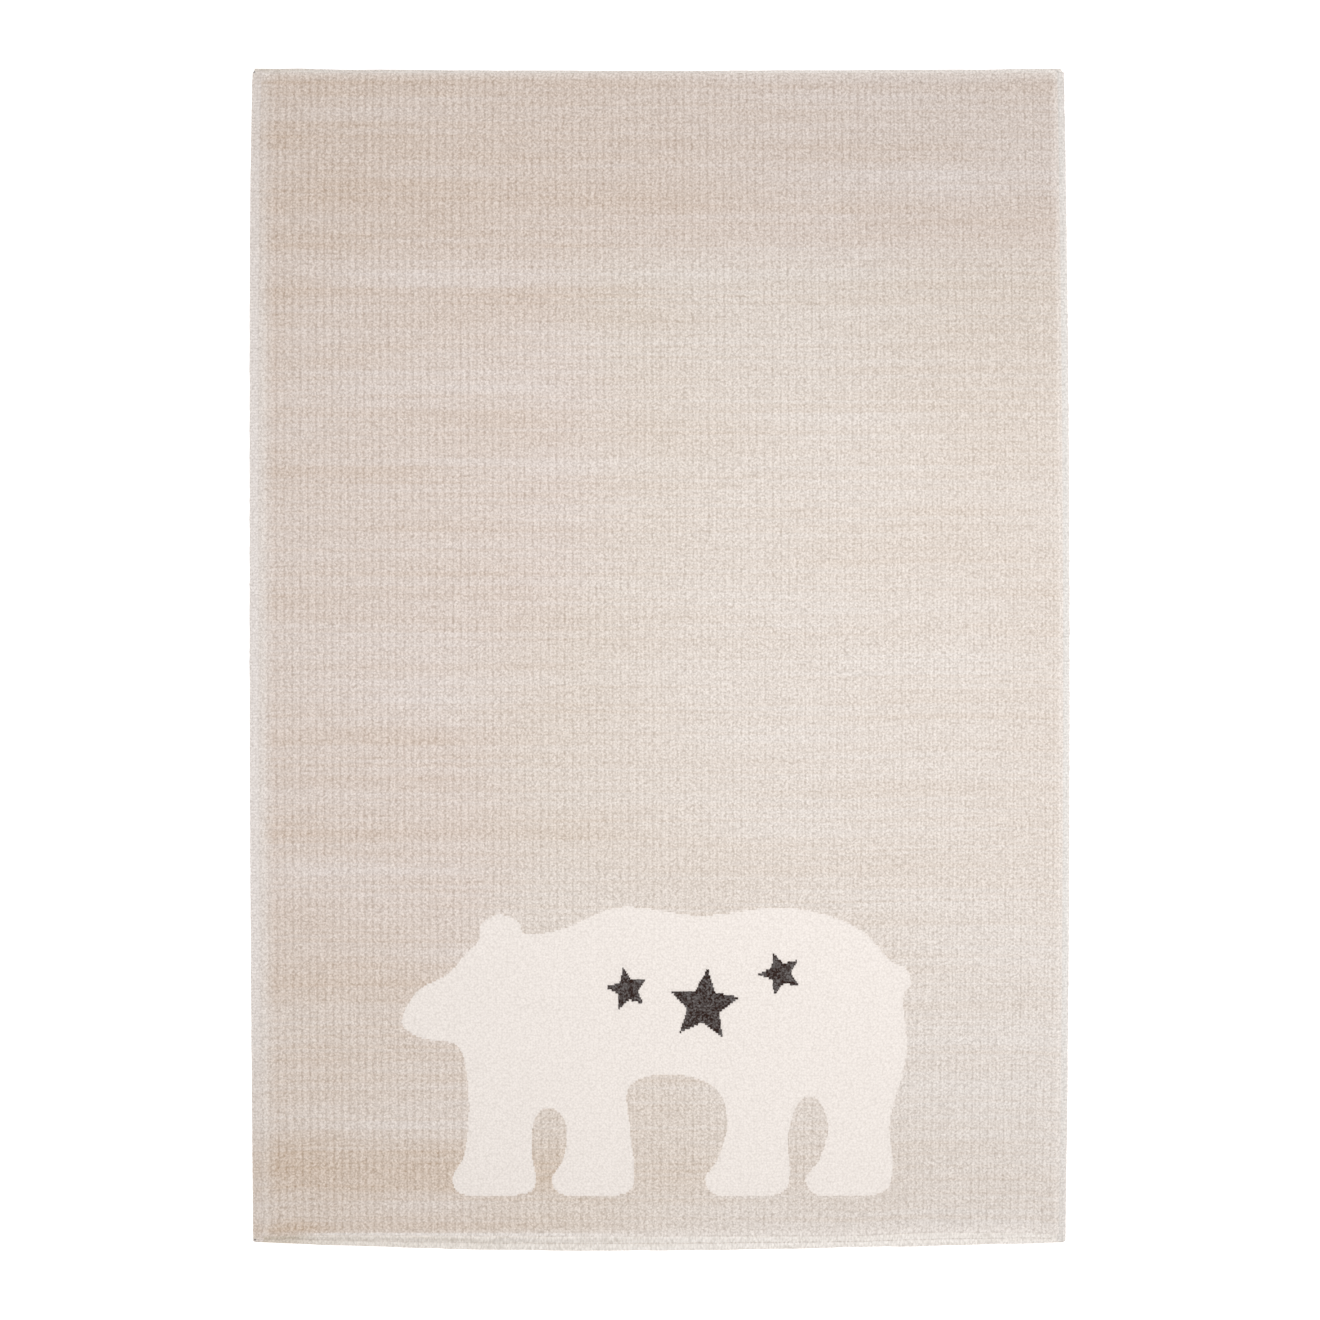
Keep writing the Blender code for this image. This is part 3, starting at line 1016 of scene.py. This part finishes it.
def hem_y(end, step):
    """Where a step of the hem lies along the plan."""
    return end.corner_y - end.sign * (step.share * end.foot + step.beyond)


# %% Ground cloth
YARN_COVER = 3.2 * MM  # the edge yarn reaches this far past the cloth's sides
HEM_START = 30 * MM  # the flat grid ends this far inside the pile's foot
CLOTH_COLUMNS = 104
CLOTH_ROWS = 24


def ground_cloth():
    """The cloth with both its hems turned under, on the straight plan."""
    left = -width / 2 + YARN_COVER
    right = width / 2 - YARN_COVER
    front = front_foot + HEM_START
    back = back_foot - HEM_START
    deselect()
    bpy.ops.mesh.primitive_grid_add(x_subdivisions=CLOTH_COLUMNS, y_subdivisions=CLOTH_ROWS, size=1)
    cloth = name_piece("ground_cloth")
    edit(cloth, action="SELECT")
    bpy.ops.transform.resize(value=(right - left, back - front, 1))
    move_by((left + right) / 2, (front + back) / 2, LOW_LAYER)
    for end, start in ((FRONT, front), (BACK, back)):
        here_y, here_z = start, LOW_LAYER
        pick(cloth, lambda place: abs(place.y - start) < NEAR)
        bpy.ops.mesh.select_mode(type="EDGE")
        for step in HEM_PATH:
            extrude(0, hem_y(end, step) - here_y, step.height - here_z)
            here_y, here_z = hem_y(end, step), step.height
    face_outwards()
    thick = cloth.modifiers.new("thickness", "SOLIDIFY")
    thick.thickness = CLOTH
    thick.offset = 0.0
    apply_all(cloth)
    edit(cloth, kind="FACE")
    face_outwards()
    keep_plan(cloth)
    return cloth


# %% Dress the ground cloth
cloth = ground_cloth()
cloth.data.materials.append(hem_look)
cloth.data.materials.append(backing_look)
flap_end = HEM_PATH[-1].beyond
for face in cloth.data.polygons:
    past_hems = front_foot + flap_end < face.center.y < back_foot - flap_end
    face.material_index = 1 if past_hems and face.normal.z < -0.5 else 0
uneven(cloth, "Z", 25 * MM, 0.25 * MM)
uneven(cloth, "Y", 60 * MM, 1.2 * MM)
dress(cloth, "ground_cloth")
print("ground cloth:", len(cloth.data.polygons), "faces")

# %% [markdown]
# ## The overcast edges
# Thick yarn is wrapped round each side of the rug, turn beside turn.  One turn is modelled: a ring
# of the edge's section, extruded four times along the side and pinched where two turns meet.  An
# array repeats it, and the top of each turn slants, as overcasting does.

# %% Section of an overcast edge
TURN_STEPS = 4
SLANT = 0.8 * TURN  # how far the top of a turn runs on along the side
YARN_MIDDLE = 2.9 * MM  # the height of the section's middle

EdgePoint = namedtuple("EdgePoint", "share depth height")
EDGE = (
    EdgePoint(1.00, 0.0, 5.4 * MM),
    EdgePoint(0.86, 0.0, 6.1 * MM),
    EdgePoint(0.60, 0.0, 6.0 * MM),
    EdgePoint(0.34, 0.0, 5.8 * MM),
    EdgePoint(0.00, 3.4 * MM, 5.1 * MM),
    EdgePoint(0.00, 1.0 * MM, 3.8 * MM),
    EdgePoint(0.00, 0.0, 2.4 * MM),
    EdgePoint(0.00, 0.7 * MM, 0.9 * MM),
    EdgePoint(0.00, 2.6 * MM, 0.1 * MM),
    EdgePoint(0.50, 0.0, 0.0),
    EdgePoint(1.00, 0.0, 0.0),
    EdgePoint(1.00, 0.0, 2.2 * MM),
)
PINCHES = {0: 0.86, 1: 0.985, 3: 0.985, 4: 0.86}  # how far each step of a turn is narrowed
SLANTS = ((1.00, 0.5), (0.86, 0.42), (0.60, 0.2))  # a column's share of the band, its slant
REACH = 0.8 * MM  # how far a point may be from the column that is slanted


# %% Edge yarn
def edge_yarn(side, finish):
    """The overcast yarn of one side: one turn, then an array of turns."""
    outer = side.sign * width / 2
    places = [(outer - side.sign * (point.share * side.band + point.depth), point.height)
              for point in EDGE]
    start = FRONT.corner_y
    turns = int((BACK.corner_y - start) / TURN)
    deselect()
    bpy.ops.mesh.primitive_circle_add(vertices=len(EDGE), radius=1, fill_type="NOTHING")
    yarn = name_piece(f"edge_yarn_{side.name}")
    for vertex, (x, z) in zip(yarn.data.vertices, places):
        vertex.co = (x, start, z)
    edit(yarn, kind="EDGE", action="SELECT")
    for step in range(TURN_STEPS):
        extrude(0, TURN / TURN_STEPS, 0)
    middle = (outer - side.sign * side.band / 2, 0, YARN_MIDDLE)
    for step, pinch in PINCHES.items():
        pick(yarn, lambda place: abs(place.y - start - step * TURN / TURN_STEPS) < NEAR)
        bpy.ops.transform.resize(value=(1 - (1 - pinch) * 0.3, 1, pinch), center_override=middle)
    for share, shift in SLANTS:
        x = outer - side.sign * share * side.band
        pick(yarn, lambda place: abs(place.x - x) < REACH and place.z > YARN_MIDDLE)
        move_by(0, shift * SLANT, 0)
    leave_edit()
    array(yarn, turns, (0, TURN, 0))
    edit(yarn, kind="EDGE")
    bpy.ops.mesh.select_non_manifold()
    bpy.ops.mesh.fill(use_beauty=False)
    face_outwards()
    keep_plan(yarn)
    uneven(yarn, "Z", 9 * MM, 0.6 * MM)
    uneven(yarn, "X", 14 * MM, 0.8 * MM)
    dress(yarn, "binding_yarn", finish, degrees=80)
    return yarn


left_yarn = edge_yarn(LEFT, left_yarn_look)
right_yarn = edge_yarn(RIGHT, right_yarn_look)
print("edge yarn faces:", len(left_yarn.data.polygons), len(right_yarn.data.polygons))

# %% [markdown]
# ## The hem stitches
# The front hem is sewn down with two rows of straight stitches, and the back hem with one.  One
# stitch is a small ball drawn out to a grain of thread, and an array sets a row of them.

# %% Stitches
STITCH = 5.2 * MM
STITCH_STEP = 6.6 * MM
THREAD = 0.9 * MM
ROW_START = 4 * MM  # from the left edge yarn to the first stitch

Row = namedtuple("Row", "end share height")
STITCH_ROWS = (
    Row(FRONT, 0.38, HIGH_LAYER + CLOTH / 2 - 0.45 * MM),
    Row(FRONT, 0.80, HIGH_LAYER + CLOTH / 2 - 0.1 * MM),
    Row(BACK, 0.40, HIGH_LAYER + CLOTH / 2 - 0.45 * MM),
)


def stitch_row(row, number):
    """One row of stitches on the straight plan."""
    y = row.end.corner_y - row.end.sign * row.share * row.end.foot
    count = int((right_inner - left_inner - ROW_START) / STITCH_STEP)
    deselect()
    bpy.ops.mesh.primitive_uv_sphere_add(segments=6, ring_count=5, radius=0.5)
    stitch = name_piece(f"hem_stitches_{number}")
    edit(stitch, action="SELECT")
    bpy.ops.transform.rotate(value=math.pi / 2, orient_axis="Y", center_override=(0, 0, 0))
    bpy.ops.transform.resize(value=(STITCH, THREAD, THREAD * 0.8))
    move_by(left_inner + ROW_START, y, row.height)
    leave_edit()
    array(stitch, count, (STITCH_STEP, 0, 0))
    return stitch


stitches = join([stitch_row(row, number) for number, row in enumerate(STITCH_ROWS)], "hem_stitches")
keep_plan(stitches)
uneven(stitches, "Y", 12 * MM, 1.0 * MM)
dress(stitches, "ground_cloth", thread_look, degrees=80)
print("stitches:", len(stitches.data.polygons), "faces")

# %% [markdown]
# ## Tucked yarn ends
# At the two left corners the end of the grey lacing yarn is tucked in and shows as a small dark
# curl.  It is a short curve with a round bevel, turned into a mesh.

# %% Tucked ends
CURL = ((0.0, 0.0, 0.0), (1.2, 0.9, 0.5), (2.2, 0.0, 0.6), (1.5, -1.2, 0.5), (0.3, -0.9, 0.0))
CURL_RADIUS = 0.6 * MM
CURL_ACROSS = 2.5 * MM  # the curl's place, in from the corner
CURL_ALONG = 5.0 * MM
CURL_HEIGHT = 4.6 * MM


def tucked_end(corner_y, sign, number):
    """One small curl of yarn near a left corner."""
    deselect()
    curve = bpy.data.curves.new("curl", "CURVE")
    curve.dimensions = "3D"
    curve.bevel_depth = CURL_RADIUS
    curve.bevel_resolution = 2
    curve.use_fill_caps = True
    curve.resolution_u = 4
    spline = curve.splines.new("BEZIER")
    spline.bezier_points.add(len(CURL) - 1)
    start = (-width / 2 + CURL_ACROSS, corner_y - sign * CURL_ALONG, CURL_HEIGHT)
    for knot, (x, y, z) in zip(spline.bezier_points, CURL):
        knot.co = (start[0] + x * MM, start[1] + sign * y * MM, start[2] + z * MM)
        knot.handle_left_type = knot.handle_right_type = "AUTO"
    end = bpy.data.objects.new("curl", curve)
    bpy.context.scene.collection.objects.link(end)
    only(end)
    bpy.ops.object.convert(target="MESH")
    return name_piece(f"tucked_end_{number}")


tucked = join([tucked_end(FRONT.corner_y, -1, 1), tucked_end(BACK.corner_y, 1, 2)], "tucked_yarn_ends")
keep_plan(tucked)
dress(tucked, "binding_yarn", grey_yarn_look, degrees=80)
print("tucked ends:", len(tucked.data.polygons), "faces")

# %% [markdown]
# ## What stands for what
# The dressed pieces take the place of the plain solids, which are hidden.

for piece in (cloth, *pile, bear, stars, stitches):
    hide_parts("rug_body")
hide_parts("edge_binding_left")
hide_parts("edge_binding_right")
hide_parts("edge_binding_left")

# %% [markdown]
# ## Floor and light
# A wide near-white floor with a round white wall far behind it, an even pale sky and one large
# soft lamp to the right, low enough to draw the ribs on the far side of the rug and to leave the
# back left corner a little darker.

# %% Floor and wall
STUDIO = 60.0  # the radius of the floor
WALL = 12.0  # the height of the wall round it
SIDES = 96
FLOOR_LEVEL = -0.2 * MM  # a hair below the rug

deselect()
bpy.ops.mesh.primitive_circle_add(vertices=SIDES, radius=STUDIO, fill_type="NGON",
                                  location=(0, 0, FLOOR_LEVEL))
floor = name_piece("floor")
deselect()
bpy.ops.mesh.primitive_cylinder_add(vertices=SIDES, radius=STUDIO, depth=WALL,
                                    end_fill_type="NOTHING",
                                    location=(0, 0, WALL / 2 + FLOOR_LEVEL))
wall = name_piece("wall")
pale_look = Look("pale_studio", {"Base Color": (0.93, 0.93, 0.93, 1), "Roughness": 0.9,
                                 "Emission Color": (1, 1, 1, 1), "Emission Strength": 0.5})
for surface in (floor, wall):
    surface.data.materials.append(pale_look.material)

# %% Sky and lamp
SKY = 0.69
LAMP_PLACE = Vector((0.6, 0.0, 2.4))
LAMP_AIM = Vector((0.1, 0.0, 0.0))
LAMP_SIZE = 1.2
LAMP_WATTS = 27

world = bpy.data.worlds.new("studio")
world.use_nodes = True
background = world.node_tree.nodes["Background"]
background.inputs["Color"].default_value = (1, 1, 1, 1)
background.inputs["Strength"].default_value = SKY
bpy.context.scene.world = world

bpy.ops.object.light_add(type="AREA", location=LAMP_PLACE)
lamp = bpy.context.object
lamp.name = "key"
lamp.data.shape = "DISK"
lamp.data.size = LAMP_SIZE
lamp.data.energy = LAMP_WATTS
lamp.rotation_euler = (LAMP_AIM - LAMP_PLACE).to_track_quat("-Z", "Y").to_euler()
print(f"lamp of {LAMP_WATTS} W, sky {SKY}")
